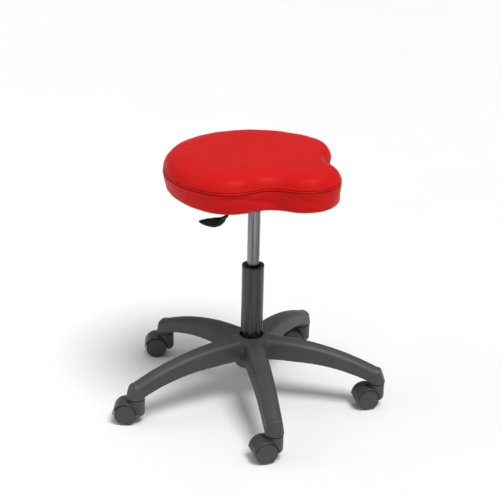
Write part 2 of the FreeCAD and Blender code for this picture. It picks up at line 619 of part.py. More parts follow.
# ---- casters ------------------------------------------------------------------------------
def make_hood():
    """Caster hood with its stem over the origin and its axle at +X."""
    axle = V(TRAIL, 0, WHEEL_RADIUS)
    across = V(0, 1, 0)
    crescent = Part.makeCylinder(HOOD_RADIUS, 2 * HOOD_HALF_WIDTH,
                                 axle - across * HOOD_HALF_WIDTH, across)
    rims = [edge for edge in crescent.Edges if abs(edge.Length - 2 * math.pi * HOOD_RADIUS) < 1]
    crescent = crescent.makeFillet(HOOD_ROUND, rims)
    crescent = crescent.cut(box((-60, -60, -20), (90, 60, HOOD_SKIRT_Z)))
    web = box((0, -WEB_HALF_THICKNESS, WEB_BOTTOM), (TRAIL + 11, WEB_HALF_THICKNESS, HOOD_SKIRT_Z + 10))
    web_end = [edge for edge in web.Edges
               if edge.BoundBox.XMin > TRAIL + 10 and edge.BoundBox.ZMax < WEB_BOTTOM + 0.01]
    web = web.makeFillet(9.0, web_end)
    boss = cylinder(SOCKET_FACE_RADIUS, BOSS_BOTTOM, HOOD_TOP)
    foot = [edge for edge in boss.Edges if edge.BoundBox.ZMax < BOSS_BOTTOM + 0.01]
    boss = boss.makeFillet(BOSS_ROUND, foot)
    head = [edge for edge in boss.Edges if edge.BoundBox.ZMin > HOOD_TOP - 0.01]
    boss = boss.makeFillet(0.8, head)
    hood = crescent.fuse(boss).fuse(web)
    for side in (-1, 1):
        start = axle + across * (side * WEB_HALF_THICKNESS)
        hood = hood.cut(Part.makeCylinder(WHEEL_WELL_RADIUS, 40, start, across * side))
        near, far = sorted((side * WEB_HALF_THICKNESS, side * 40))
        hood = hood.cut(box((TRAIL - WHEEL_WELL_RADIUS, near, -20),
                            (TRAIL + WHEEL_WELL_RADIUS, far, WHEEL_RADIUS)))
    hood = hood.cut(Part.makeCylinder(AXLE_RADIUS, 80, axle - across * 40, across))
    return hood.cut(cylinder(STEM_RADIUS, STEM_FOOT, HOOD_TOP + 1)).removeSplitter()


def make_wheel():
    """Wheel on the +Y side of a caster, turned about its axle, with a plain outer disc."""
    inner = WHEEL_INNER_FACE
    outer = inner + WHEEL_WIDTH
    bore = AXLE_RADIUS + RUNNING_GAP
    radius = WHEEL_RADIUS
    profile = [
        (bore, inner), (8.0, inner), (8.0, outer - 4.0), (20.6, outer - 4.0), (21.2, inner + 1.0),
        (22.0, inner), (radius - 1.2, inner), (radius, inner + 1.4), (radius, outer - 2.4),
        (radius - 0.7, outer - 0.7), (radius - 2.0, outer), (radius - 3.0, outer),
        (radius - 3.6, outer - 0.7), (0, outer - 0.5), (0, outer - 3.4), (bore, outer - 3.4),
    ]
    wheel = revolved(profile)
    wheel.rotate(V(0, 0, 0), V(1, 0, 0), -90)
    return moved(wheel, TRAIL, 0, WHEEL_RADIUS)


def make_casters():
    hood = make_hood()
    wheel = make_wheel()
    opposite = turned(wheel, 180, V(TRAIL, 0, WHEEL_RADIUS))
    stem = cylinder(STEM_RADIUS, STEM_FOOT, STEM_TOP)
    groove_drop, groove_height, groove_depth = STEM_GROOVE
    groove_low = STEM_TOP - groove_drop
    groove_high = groove_low + groove_height
    stem = stem.cut(ring(STEM_RADIUS + 1, STEM_RADIUS - groove_depth, groove_low, groove_high))
    tip = [edge for edge in stem.Edges if edge.BoundBox.ZMin > STEM_TOP - 0.01]
    stem = stem.makeChamfer(1.2, tip)
    grip = ring(STEM_RADIUS + GRIP_RING_PROUD, STEM_RADIUS - groove_depth, groove_low, groove_high)
    grip = grip.cut(box((0, -1.5, 0), (20, 1.5, 200)))
    axle_reach = WHEEL_INNER_FACE + WHEEL_WIDTH - AXLE_END_GAP
    axle = Part.makeCylinder(AXLE_RADIUS, 2 * axle_reach, V(TRAIL, -axle_reach, WHEEL_RADIUS), V(0, 1, 0))
    pieces = {"hood": hood, "stem": stem, "grip_ring": grip, "axle": axle,
              "wheel_left": wheel, "wheel_right": opposite}
    for index, heading in enumerate(CASTER_HEADINGS):
        direction = math.radians(FIRST_ARM_ANGLE + 360.0 / ARM_COUNT * index)
        x = CASTER_CIRCLE * math.cos(direction)
        y = CASTER_CIRCLE * math.sin(direction)
        for name, piece in pieces.items():
            placed = moved(turned(piece, heading), x, y)
            save("caster_%d_%s" % (index + 1, name), placed)


make_cushion()
make_seat_plate()
make_lever()
make_gas_lift()
make_standpipe()
make_star_base()
make_casters()
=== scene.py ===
"""Adjustable swivel stool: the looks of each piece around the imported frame."""
import json
import math

import bmesh
import bpy
import numpy as np
from mathutils import Matrix, Vector, noise


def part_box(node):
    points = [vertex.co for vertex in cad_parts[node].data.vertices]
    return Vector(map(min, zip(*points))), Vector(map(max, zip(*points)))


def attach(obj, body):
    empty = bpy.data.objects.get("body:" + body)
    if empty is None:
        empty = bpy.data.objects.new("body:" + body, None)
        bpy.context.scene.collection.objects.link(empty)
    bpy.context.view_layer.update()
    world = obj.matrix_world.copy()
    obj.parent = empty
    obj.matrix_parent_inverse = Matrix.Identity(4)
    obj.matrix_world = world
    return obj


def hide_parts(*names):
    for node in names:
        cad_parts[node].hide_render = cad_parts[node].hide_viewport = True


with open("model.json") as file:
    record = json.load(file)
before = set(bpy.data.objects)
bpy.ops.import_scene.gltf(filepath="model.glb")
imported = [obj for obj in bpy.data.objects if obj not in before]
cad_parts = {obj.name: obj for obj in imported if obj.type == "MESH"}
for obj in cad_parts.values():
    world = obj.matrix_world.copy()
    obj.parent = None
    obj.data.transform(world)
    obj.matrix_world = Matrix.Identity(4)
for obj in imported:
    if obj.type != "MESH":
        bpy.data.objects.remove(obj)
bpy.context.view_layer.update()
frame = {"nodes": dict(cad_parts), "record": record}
NODES = frame["nodes"]

MM = 0.001

# ---- camera -----------------------------------------------------------------------------------
CAMERA_DISTANCE = 3.148
CAMERA_AZIMUTH = math.radians(-51.33)
CAMERA_ELEVATION = math.radians(22.66)
CAMERA_ROLL = math.radians(1.31)
CAMERA_TARGET_Z = 0.3661
CAMERA_LENS = 100.9
CAMERA_SENSOR = 36.0
CAMERA_SHIFT = -0.0069

# ---- light and floor --------------------------------------------------------------------------
SKY_LOW = 0.12               # strength of the sky at the horizon
SKY_HIGH = 0.62              # and overhead
SKY_SEEN = 0.92              # the pale backdrop behind the object in low views
KEY_LIGHT = (-12, 65, 26, 2.35)           # azimuth, elevation, spread in degrees, and strength
RIM_LIGHT = (-140, 35, 3.4, (1.2, 1.8), 12)    # azimuth, elevation, distance, size and power
RIM_TARGET_Z = 0.35
FLOOR_HALF = 30.0

# ---- plan of the cushion, from the swivel axis, nose towards -Y -------------------------------
SEAT_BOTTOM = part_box("seat_cover")[0].z - 1.3 * MM
SEAT_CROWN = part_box("seat_cover")[1].z + 3.8 * MM
NOSE_CENTRE = 132.5 * MM
NOSE_RADIUS = 79 * MM
REAR_RADIUS = 198 * MM
SHOULDER_RADIUS = 90 * MM
SHOULDER_ANGLE = math.radians(83.5)
NOTCH_RADIUS = 74 * MM
AROUND = 720                 # points round the cushion

# ---- section of the cushion -------------------------------------------------------------------
SEAM_Z = 563.7 * MM
SEAM_LIFT = 2.6 * MM         # the seam is this much higher at the nose, and lower at the rear
SEAM_REACH = 7 * MM          # rows are close together within this distance of the seam
SEAM_STEP = 0.6 * MM
ROW_STEP = 2.5 * MM
TOP_ROUND = 20 * MM
TOP_RISE = 28.5 * MM         # height of the rounded upper edge above the seam
CROWN_INSET = 52 * MM
CROWN_MIDDLE = np.array([0.0, -12 * MM])
CROWN_EDGE_POWER = 2.2       # the crown rises this quickly inside its edge
CROWN_DOME = 0.38            # share of the crown's rise that is a dome over the whole top
CROWN_TILT = 0.4             # share of the seam's slant that the crown follows at its edge
BOTTOM_ROUND = 12 * MM
HEM_INSET = 28 * MM
HEM_THICKNESS = 1.6 * MM
FOAM_INSET = 7 * MM
FOAM_CLEARANCE = 0.6 * MM
FOAM_CROWN = 1.5 * MM
BOARD_INSET = 14 * MM

# ---- relief of the cover ----------------------------------------------------------------------
WELT = (0.0, 1.6 * MM, 1.3 * MM)            # place from the seam, half-width and height
LIPS = (                     # soft edges of both panels beside the welt, in the same terms
    (5.2 * MM, 2.2 * MM, 0.9 * MM),
    (-5.0 * MM, 2.0 * MM, 0.9 * MM),
)
GROOVES = (                  # stitched grooves beside the welt, in the same terms
    (2.3 * MM, 0.75 * MM, -1.3 * MM),
    (-2.3 * MM, 0.75 * MM, -1.3 * MM),
)
GROOVE_SHADES = (            # painted shade in the grooves: place, half-width and strength
    (2.3 * MM, 0.8 * MM, 0.55),
    (-2.3 * MM, 0.9 * MM, 0.85),
)
JOINT_LIPS = (               # sewn joint at the rear of the band: place, half-width and height
    (2.6 * MM, 1.6 * MM, 0.7 * MM),
    (-2.6 * MM, 1.6 * MM, 0.7 * MM),
    (0.0, 1.0 * MM, -1.2 * MM),
)
# painted shade in the rear joint: place, half-width and strength
JOINT_SHADE = (0.0, 0.8 * MM, 0.9)
JOINT_LOW = (2 * MM, 12 * MM)     # it sets in over this span above the lower edge
JOINT_HIGH = (-3 * MM, 0.0)       # and ends over this one at the seam
RELIEF_LOW = 1 * MM          # below this height the cover has no pleats, folds or puckers
FOOT_SPAN = (0.0, 42 * MM)   # the band is pulled in over this span above its lower edge
FULL_SPAN = (6 * MM, 44 * MM)     # grows full over this one
TOP_SPAN = (6 * MM, 24 * MM)      # and is back on its outline over this one above the seam
BAND_SWELL = 1.6 * MM
REAR_SWELL = 1.6 * MM
FOOT_PULL = 1.0 * MM
REAR_PULL = 2.4 * MM
REAR_SPAN = (-120 * MM, 40 * MM)  # what holds for the rear sets in along this stretch of y
LIFT_SPAN = 14 * MM          # the seam's slant sets in at this height above the lower edge
LIFT_FADE = 24 * MM          # and lessens over this height above the seam
LIFT_LOSS = 0.6
PLEATS = (                   # place along the outline from the nose, half-width and depth
    (105 * MM, 3.0 * MM, 0.8 * MM),
    (262 * MM, 6.0 * MM, 0.8 * MM),
)
PLEAT_SKEW = 0.93            # pleats on the far side are this much nearer the nose
PLEAT_SIDES = ((2.2, 1.2, 0.55), (-2.2, 1.3, 0.45))    # humps: place, width, share of depth
PLEAT_LOW = (1 * MM, 10 * MM)
PLEAT_HIGH = (-16 * MM, -4 * MM)
FOLDS = (                    # start and end of a fold: place along the outline, share of the
    (236 * MM, 0.84, 124 * MM, 0.40, 0.15, 4.2 * MM),    # band's height; half-width and depth
    (214 * MM, 0.44, 158 * MM, 0.12, 0.12, 2.6 * MM),
    (70 * MM, 0.62, 15 * MM, 0.20, 0.12, 1.6 * MM),
)
FOLD_SIDE = (-1.9, 1.2, 0.5)      # hump beside a fold, in the same terms as a pleat's
FOLD_START = (-0.35, 0.1)    # a fold sets in and dies away over these shares of its length
FOLD_END = (0.8, 1.25)
FOLD_LOW = (0.0, 0.15)       # and over these shares of the band's height
FOLD_HIGH = (0.86, 0.96)
PUCKERS = (7 * MM, 22 * MM, 0.35 * MM)      # length round, length up and height of the waves
BROAD_WAVES = (34 * MM, 50 * MM, 0.55 * MM)
BROAD_WAVES_OFFSET = 5.0     # starts them at another place of the noise
PUCKER_REACH = 7 * MM

# ---- cloth simulation of the cover ------------------------------------------------------------
CLOTH_COLUMN_STEP = 3
CLOTH_FRAMES = 20
CLOTH_HELD = (2 * MM, 1.3 * MM)   # height of the held hem, and half-height of the held seam
CLOTH_ROW_STEP = 2
CLOTH_CAP = 2.4 * MM
CLOTH_TOP_SHARE = 0.35       # the top panel is drawn tighter than the band
CLOTH_SETTINGS = {
    "quality": 6, "mass": 0.25, "tension_stiffness": 25.0, "compression_stiffness": 25.0,
    "shear_stiffness": 8.0, "bending_stiffness": 0.6, "tension_damping": 8.0,
    "compression_damping": 8.0, "shear_damping": 8.0, "use_pressure": True,
    "uniform_pressure_force": 2.2, "shrink_min": -0.006,
}

# ---- column -----------------------------------------------------------------------------------
PIPE_RADIUS = 25.2 * MM
PIPE_BORE = 23 * MM
PIPE_AROUND = 384
PIPE_EDGE = ((0.0, 1.2 * MM), (0.3 * MM, 0.4 * MM), (0.9 * MM, 0.0))    # inset and depth of rim
PIPE_STEP_DEPTH = 30 * MM    # the wide bore ends this far below the bush
NECK_BORE = 19.2 * MM
NECK_TOP_RADIUS = 20.6 * MM
NECK_FOOT_RADIUS = 20.8 * MM
NECK_TAPER_TOP = 140 * MM
NECK_OVERLAP = 0.5 * MM
NECK_AROUND = 128
FLUTE_COUNT = 8
FLUTE_ANGLE = math.radians(235.5)
FLUTE_TOP = 212 * MM
FLUTE_DEPTH = 4.2 * MM
FLUTE_SHARE = (0.10, 0.42)   # half-width of a groove at its top, and what its foot has more
LOBE_FOOT = 162 * MM
LOBE_ROUND = 9 * MM          # height of the lobes' rounded ends
LOBE_TAPER = 3.4 * MM
LOBE_NOSE = 2.6 * MM
LOBE_WALL = 4 * MM
BUSH_BORE = 14.3 * MM
BUSH_AROUND = 288
BUSH_CLEARANCE = 0.1 * MM
BUSH_RIM = ((0.0, 1.2 * MM), (0.4 * MM, 0.4 * MM), (1.2 * MM, 0.0))     # inset and depth
BUSH_MOUTH = (               # radius, and depth below the rim
    (21.2 * MM, 0.0),
    (20.6 * MM, 0.5 * MM),
    (19.6 * MM, 1.6 * MM),
    (16.8 * MM, 2.2 * MM),
    (16.2 * MM, 2.9 * MM),
    (15.9 * MM, 9 * MM),
    (BUSH_BORE, 9.4 * MM),
)
BUSH_NOTCHES = 24
BUSH_NOTCH_DEPTH = 1.4 * MM
BUSH_NOTCH_SHARE = 0.18      # of the rim's pitch
BUSH_NOTCHED = range(6, 10)  # the notches are cut in these rows of the section

# ---- base and lever ---------------------------------------------------------------------------
CASTER_COUNT = 5
BASE_VOXEL = 1.5 * MM
BASE_KEPT = 0.4              # share of the remeshed faces that are kept
HUB_KEEP = ((24 * MM, 27 * MM), (29 * MM, 32 * MM), (30 * MM, 36 * MM))    # crisp inside these
FILLET_END = (66 * MM, 118 * MM)       # radii over which the hub's fillets run out
FILLET_LOW = (66 * MM, 52 * MM)        # and depths below the hub's top
EDGE_SOFTNESS = (0.3, 0.1)
EDGE_TURNS = 5               # rounds of smoothing for the edges, and for the hub's fillets
FILLET_TURNS = 60
WEIGHT_LEVELS = 20
SOCKET_CLEARANCE = 0.3 * MM
LEVER_ROD_RADIUS = 4 * MM
PADDLE_TILT = math.radians(56)    # the leaf's face leans towards the nose by this much
PADDLE_RISE = 17 * MM
PADDLE_SINK = 1.0 * MM       # the leaf sits this much low on the rod
PADDLE_DISH = 1.2 * MM
PADDLE_SHARES = (40, 48)     # rings along the leaf, and points round each
PADDLE_UPPER = (             # share of the leaf's length, and reach above its middle in mm
    (0.0, 0.08, 0.3, 0.6, 0.85, 0.96, 1.0),
    (4.2, 5.5, 8.5, 9.0, 6.0, 3.0, 0.3),
)
PADDLE_LOWER = (             # and below its middle
    (0.0, 0.08, 0.25, 0.48, 0.75, 0.93, 1.0),
    (5.5, 9.0, 12.5, 13.5, 9.0, 4.0, 0.3),
)
PADDLE_THICK = (             # and half its thickness
    (0.0, 0.08, 0.5, 0.9, 1.0),
    (4.5, 4.2, 3.4, 2.4, 0.4),
)
PADDLE_TIP = 1.005           # the tip's point lies at this share of the length
PADDLE_ROOT = 1.5 * MM       # the root's point lies this far inside the rod's end


# ---- helpers ----------------------------------------------------------------------------------
def new_object(name, mesh):
    obj = bpy.data.objects.new(name, mesh)
    bpy.context.scene.collection.objects.link(obj)
    return obj


def apply_modifiers(obj):
    """Bake the modifiers into the mesh."""
    graph = bpy.context.evaluated_depsgraph_get()
    graph.update()
    mesh = bpy.data.meshes.new_from_object(obj.evaluated_get(graph))
    obj.modifiers.clear()
    obj.data = mesh


def weld(obj):
    """Join vertices that lie on each other and turn the faces outwards."""
    shape = bmesh.new()
    shape.from_mesh(obj.data)
    bmesh.ops.remove_doubles(shape, verts=shape.verts, dist=0.001 * MM)
    bmesh.ops.recalc_face_normals(shape, faces=shape.faces)
    shape.to_mesh(obj.data)
    shape.free()


def smooth(obj, angle=None):
    """Smooth shading, with edges sharper than angle (degrees) kept crisp."""
    mesh = obj.data
    mesh.polygons.foreach_set("use_smooth", [True] * len(mesh.polygons))
    if angle is not None:
        mesh.set_sharp_from_angle(angle=math.radians(angle))
    mesh.update()


def grid_mesh(name, rings, cap_low=None, cap_high=None):
    """Quads between closed rings of points; the end rings may be closed onto one point each."""
    count = len(rings[0])
    verts = [tuple(point) for ring in rings for point in ring]
    faces = []
    for row in range(len(rings) - 1):
        low = row * count
        high = low + count
        for column in range(count):
            ahead = (column + 1) % count
            faces.append((low + column, low + ahead, high + ahead, high + column))
    for cap, row in ((cap_low, 0), (cap_high, len(rings) - 1)):
        if cap is None:
            continue
        centre = len(verts)
        verts.append(tuple(cap))
        start = row * count
        for column in range(count):
            here = start + column
            ahead = start + (column + 1) % count
            faces.append((ahead, here, centre) if row == 0 else (here, ahead, centre))
    mesh = bpy.data.meshes.new(name)
    mesh.from_pydata(verts, [], faces)
    mesh.update()
    return mesh


def step(value, low, high):
    """Smooth step of an array or number from 0 at low to 1 at high."""
    share = np.clip((value - low) / (high - low), 0.0, 1.0)
    return share * share * (3 - 2 * share)


def bump_wave(value, centre, width, height=1.0):
    """Soft hump at centre that fades over width to each side."""
    return height * np.exp(-((value - centre) / width) ** 2)


def bumps(value, rows):
    """Sum of the humps in rows of centre, width and height."""
    return sum(bump_wave(value, *row) for row in rows)


def tube_ring(angles, radius, height):
    """Ring of points round the upright axis."""
    return np.column_stack([radius * np.cos(angles), radius * np.sin(angles),
                            np.broadcast_to(height, angles.shape)])


def full_turn(count):
    return np.linspace(0, 2 * math.pi, count, endpoint=False)


def direction(azimuth, elevation):
    """Unit vector from the object; azimuth 0 is -Y and grows towards +X, both in radians."""
    return Vector((math.sin(azimuth) * math.cos(elevation),
                   -math.cos(azimuth) * math.cos(elevation), math.sin(elevation)))


# ---- materials --------------------------------------------------------------------------------
class Nodes:
    """A material's node tree with short calls to add and link nodes."""

    def __init__(self, name):
        self.material = bpy.data.materials.new(name)
        self.material.use_nodes = True
        self.tree = self.material.node_tree
        self.shader = self.tree.nodes["Principled BSDF"]

    def add(self, kind, **settings):
        node = self.tree.nodes.new(kind)
        for key, value in settings.items():
            setattr(node, key, value)
        return node

    def link(self, source, target):
        self.tree.links.new(source, target)

    def fixed(self, **values):
        for key, value in values.items():
            self.shader.inputs[key.replace("_", " ")].default_value = value

    def coordinates(self):
        return self.add("ShaderNodeTexCoord").outputs["Object"]

    def stretched(self, scale):
        """Object coordinates scaled along each axis."""
        node = self.add("ShaderNodeMapping")
        node.inputs["Scale"].default_value = scale
        self.link(self.coordinates(), node.inputs["Vector"])
        return node.outputs["Vector"]

    def noise(self, scale, detail=3.0, roughness=0.55, vector=None):
        node = self.add("ShaderNodeTexNoise")
        node.inputs["Scale"].default_value = scale
        node.inputs["Detail"].default_value = detail
        node.inputs["Roughness"].default_value = roughness
        self.link(vector or self.coordinates(), node.inputs["Vector"])
        return node.outputs["Fac"]

    def cells(self, scale):
        node = self.add("ShaderNodeTexVoronoi", feature="F1")
        node.inputs["Scale"].default_value = scale
        self.link(self.coordinates(), node.inputs["Vector"])
        return node.outputs["Distance"]

    def remap(self, value, low, high, to_low=0.0, to_high=1.0):
        node = self.add("ShaderNodeMapRange")
        numbers = {"From Min": low, "From Max": high, "To Min": to_low, "To Max": to_high}
        for key, number in numbers.items():
            node.inputs[key].default_value = number
        self.link(value, node.inputs["Value"])
        return node.outputs["Result"]

    def mix(self, factor, low, high):
        """Colour between low and high, each a colour or a socket."""
        node = self.add("ShaderNodeMix", data_type="RGBA")
        self.link(factor, node.inputs["Factor"])
        for key, value in (("A", low), ("B", high)):
            socket = [s for s in node.inputs if s.name == key and s.type == "RGBA"][0]
            if isinstance(value, bpy.types.NodeSocket):
                self.link(value, socket)
            else:
                socket.default_value = (*value, 1.0)
        return [s for s in node.outputs if s.type == "RGBA"][0]

    def attribute(self, name):
        return self.add("ShaderNodeAttribute", attribute_name=name).outputs["Fac"]

    def bump(self, height, distance, strength=1.0, before=None):
        node = self.add("ShaderNodeBump")
        node.inputs["Distance"].default_value = distance
        node.inputs["Strength"].default_value = strength
        self.link(height, node.inputs["Height"])
        if before is not None:
            self.link(before, node.inputs["Normal"])
        return node.outputs["Normal"]

    def finish(self, colour=None, roughness=None, normal=None):
        for value, key in ((colour, "Base Color"), (roughness, "Roughness"), (normal, "Normal")):
            if value is not None:
                self.link(value, self.shader.inputs[key])
        return self.material


def vinyl_material():
    """Red vinyl: fine embossed grain, with painted shade darkening it down in the seams and along the rear
    joint.
    """
    n = Nodes("red_vinyl")
    n.fixed(Specular_IOR_Level=0.06)
    dark, light = (0.565, 0.0092, 0.0080), (0.600, 0.0105, 0.0092)
    tone = n.mix(n.remap(n.noise(9.0, 2.0), 0.35, 0.65), dark, light)
    # painted shade: the red darkens towards a deep red in the seams' grooves and in the rear joint
    painted_shade_in_seams = n.mix(n.attribute("seam_painted_shade"), tone, (0.20, 0.004, 0.004))
    rough = n.remap(n.noise(55.0, 3.0), 0.3, 0.7, 0.38, 0.48)
    grain = n.bump(n.cells(820.0), 0.00012, 0.35)
    fine = n.bump(n.noise(420.0, 4.0), 0.00015, 0.35, grain)
    soft = n.bump(n.noise(28.0, 2.0), 0.0007, 0.25, fine)
    return n.finish(painted_shade_in_seams, rough, soft)


def plastic_material(name, dark, light, rough_low, rough_high):
    """Moulded plastic: spark-grained surface, faint mottling and handling marks."""
    n = Nodes(name)
    n.fixed(Specular_IOR_Level=0.42)
    tone = n.mix(n.remap(n.noise(34.0, 4.0), 0.35, 0.68), dark, light)
    rough = n.remap(n.noise(70.0, 5.0, 0.65), 0.3, 0.7, rough_low, rough_high)
    pits = n.bump(n.noise(900.0, 3.0, 0.7), 0.00008, 0.6)
    flow = n.bump(n.noise(16.0, 2.0), 0.0008, 0.12, pits)
    return n.finish(tone, rough, flow)


def paint_material(name, dark, light, rough_low, rough_high, stretch=(60.0, 60.0, 60.0)):
    """Gloss paint over steel: slow changes of tone and gloss, and a faint orange peel. Stretched along the
    tube and strong in tone, the changes are painted reflection streaks.
    """
    n = Nodes(name)
    n.fixed(Specular_IOR_Level=0.5)
    tone_and_reflections = n.noise(1.0, 3.0, 0.5, n.stretched(stretch))
    tone = n.mix(n.remap(tone_and_reflections, 0.38, 0.62), dark, light)
    rough = n.remap(tone_and_reflections, 0.38, 0.62, rough_low, rough_high)
    peel = n.bump(n.noise(150.0, 1.0, 0.4), 0.00006, 0.2)
    return n.finish(tone, rough, peel)


def metal_material(name, dark, light, rough_low, rough_high, stretch=(900.0, 900.0, 14.0)):
    """Drawn or ground metal, with fine lines along its length. Where the lines are broad and strong in tone
    they are painted reflection streaks.
    """
    n = Nodes(name)
    n.fixed(Metallic=1.0)
    lines_and_reflections = n.noise(1.0, 4.0, 0.6, n.stretched(stretch))
    tone = n.mix(n.remap(lines_and_reflections, 0.4, 0.6), dark, light)
    rough = n.remap(lines_and_reflections, 0.4, 0.6, rough_low, rough_high)
    return n.finish(tone, rough, n.bump(lines_and_reflections, 0.00003, 0.4))


def wood_material():
    """Birch plywood, with long fibres."""
    n = Nodes("birch_plywood")
    fibre = n.noise(1.0, 5.0, 0.6, n.stretched((6.0, 90.0, 90.0)))
    tone = n.mix(n.remap(fibre, 0.3, 0.7), (0.42, 0.27, 0.14), (0.66, 0.48, 0.28))
    return n.finish(tone, n.remap(fibre, 0.3, 0.7, 0.55, 0.7), n.bump(fibre, 0.0001, 0.4))


def foam_material():
    """Yellowish foam with open cells."""
    n = Nodes("cushion_foam")
    cells = n.cells(700.0)
    tone = n.mix(n.remap(cells, 0.0, 0.6), (0.55, 0.48, 0.30), (0.84, 0.78, 0.58))
    n.fixed(Roughness=0.9)
    return n.finish(tone, None, n.bump(cells, 0.0004, 0.6))


def nonwoven_material():
    """Black spun cloth: crossing fibres with a pattern of small bonded dots."""
    n = Nodes("black_nonwoven")
    fibres = n.noise(900.0, 6.0, 0.8)
    dots = n.cells(420.0)
    tone = n.mix(n.remap(fibres, 0.3, 0.7), (0.012, 0.012, 0.013), (0.035, 0.035, 0.037))
    n.fixed(Roughness=0.85, Sheen_Weight=0.25, Sheen_Roughness=0.5)
    height = n.bump(fibres, 0.0002, 0.6)
    return n.finish(tone, None, n.bump(dots, 0.0002, 0.5, height))


CHARCOAL = plastic_material("base_nylon", (0.050, 0.050, 0.046), (0.059, 0.059, 0.055), 0.46, 0.56)
CASTER_NYLON = plastic_material("caster_nylon", (0.042, 0.042, 0.039), (0.052, 0.052, 0.048), 0.34, 0.46)
WHEEL_NYLON = plastic_material("wheel_nylon", (0.044, 0.044, 0.041), (0.054, 0.054, 0.050), 0.34, 0.46)
# black plastic of the bush, also used as painted shade on the standpipe's neck
BLACK_FOR_BUSH_AND_SHADE = plastic_material("black_bush_and_painted_shade", (0.010, 0.010, 0.010), (0.015, 0.015, 0.015), 0.32, 0.44)
LEVER_BLACK = plastic_material("lever_black", (0.016, 0.021, 0.010), (0.024, 0.030, 0.016), 0.26, 0.38)
# its strong vertical bands of dark and light are painted reflections on the gloss paint
PIPE_PAINT = paint_material("standpipe_paint", (0.008, 0.008, 0.006), (0.046, 0.045, 0.041), 0.24, 0.34,
                            (90.0, 90.0, 3.0))
PLATE_PAINT = paint_material("plate_paint", (0.016, 0.016, 0.016), (0.024, 0.024, 0.024), 0.42, 0.55)
ROD_PAINT = paint_material("lever_rod_paint", (0.012, 0.012, 0.012), (0.02, 0.02, 0.02), 0.3, 0.42)
# its broad vertical bands of dark and light are painted reflections over fine drawn lines
CYLINDER_STEEL = metal_material("cylinder_steel", (0.05, 0.053, 0.056), (0.27, 0.275, 0.285), 0.26, 0.40,
                                (190.0, 190.0, 3.0))
BRIGHT_STEEL = metal_material("bright_steel", (0.55, 0.55, 0.56), (0.7, 0.7, 0.71), 0.12, 0.22)
ZINC = metal_material("zinc_plate", (0.45, 0.45, 0.44), (0.62, 0.62, 0.60), 0.28, 0.42, (300.0, 300.0, 300.0))
ALLOY = metal_material("machined_alloy", (0.5, 0.5, 0.5), (0.7, 0.7, 0.7), 0.25, 0.4)
RUBBER = plastic_material("seal_rubber", (0.012, 0.012, 0.012), (0.02, 0.02, 0.02), 0.6, 0.8)
CAGE_NYLON = plastic_material("cage_nylon", (0.55, 0.52, 0.42), (0.68, 0.66, 0.56), 0.4, 0.55)
NONWOVEN = nonwoven_material()
VINYL = vinyl_material()
WOOD = wood_material()
FOAM = foam_material()

SLOT_MATERIALS = {
    "red_vinyl": VINYL, "foam": FOAM, "plywood": WOOD, "black_nonwoven": NONWOVEN,
    "plate_paint": PLATE_PAINT, "zinc_steel": ZINC, "cylinder_steel": CYLINDER_STEEL,
    "bright_rod": BRIGHT_STEEL, "piston_alloy": ALLOY, "seal_rubber": RUBBER,
    "bearing_steel": BRIGHT_STEEL, "cage_nylon": CAGE_NYLON, "standpipe_paint": PIPE_PAINT,
    "bush_plastic": BLACK_FOR_BUSH_AND_SHADE, "base_nylon": CHARCOAL, "caster_plastic": CASTER_NYLON,
    "wheel_plastic": WHEEL_NYLON, "lever_rod_paint": ROD_PAINT, "lever_plastic": LEVER_BLACK,
}


def dress_cad_nodes():
    """Each CAD node gets the finish of its slot in the record."""
    for part in frame["record"]["subparts"]:
        obj = NODES[part["node"]]
        obj.data.materials.clear()
        obj.data.materials.append(SLOT_MATERIALS[part["material_slot"]])
        smooth(obj, 32)


def put_on(obj, body, slot, material, *replaced):
    """Dress a new piece, let it ride on its body and stand for CAD nodes."""
    obj.data.materials.clear()
    obj.data.materials.append(material)
    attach(obj, body)
    if replaced:
        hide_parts(*replaced)
    return obj


# ---- cushion ----------------------------------------------------------------------------------
def arc_points(centre, radius, start, end, count):
    angles = np.linspace(start, end, count, endpoint=False)
    return np.stack([centre[0] + radius * np.cos(angles), centre[1] + radius * np.sin(angles)], -1)


def plan_arcs():
    """The four arcs of one side of the plan as (centre, radius, start, end, hollow).

    The first axis runs towards the nose, the second to the side.
    """
    reach = REAR_RADIUS - SHOULDER_RADIUS
    nose = np.array([NOSE_CENTRE, 0.0])
    shoulder = reach * np.array([math.cos(SHOULDER_ANGLE), math.sin(SHOULDER_ANGLE)])
    gap = np.linalg.norm(shoulder - nose)
    from_nose = NOSE_RADIUS + NOTCH_RADIUS
    from_shoulder = SHOULDER_RADIUS + NOTCH_RADIUS
    along = (from_nose ** 2 - from_shoulder ** 2 + gap ** 2) / (2 * gap)
    aside = math.sqrt(from_nose ** 2 - along ** 2)
    unit = (shoulder - nose) / gap
    notch = nose + unit * along + np.array([unit[1], -unit[0]]) * aside

    def heading(vector):
        return math.atan2(vector[1], vector[0]) % (2 * math.pi)

    return [
        (nose, NOSE_RADIUS, 0.0, heading(notch - nose), False),
        (notch, NOTCH_RADIUS, heading(nose - notch), heading(shoulder - notch), True),
        (shoulder, SHOULDER_RADIUS, heading(notch - shoulder), SHOULDER_ANGLE, False),
        (np.zeros(2), REAR_RADIUS, SHOULDER_ANGLE, math.pi, False),
    ]


PLAN = plan_arcs()


def plan_shares():
    """Points per arc, in proportion to its length."""
    lengths = [radius * abs(end - start) for _, radius, start, end, _ in PLAN]
    half = AROUND // 2
    counts = [round(half * length / sum(lengths)) for length in lengths]
    counts[-1] += half - sum(counts)
    return counts


PLAN_COUNTS = plan_shares()


def plan_ring(inset):
    """AROUND points of the plan offset inwards, starting at the nose tip, as (x, y)."""
    side = []
    for (centre, radius, start, end, hollow), count in zip(PLAN, PLAN_COUNTS):
        if start > end and not hollow:
            end += 2 * math.pi
        side.append(arc_points(centre, radius + (inset if hollow else -inset), start, end, count))
    rear = np.array([[-(REAR_RADIUS - inset), 0.0]])
    half = np.vstack(side + [rear])
    other = half[1:-1][::-1] * (1, -1)
    loop = np.vstack([half, other])
    return np.stack([loop[:, 1], -loop[:, 0]], -1)


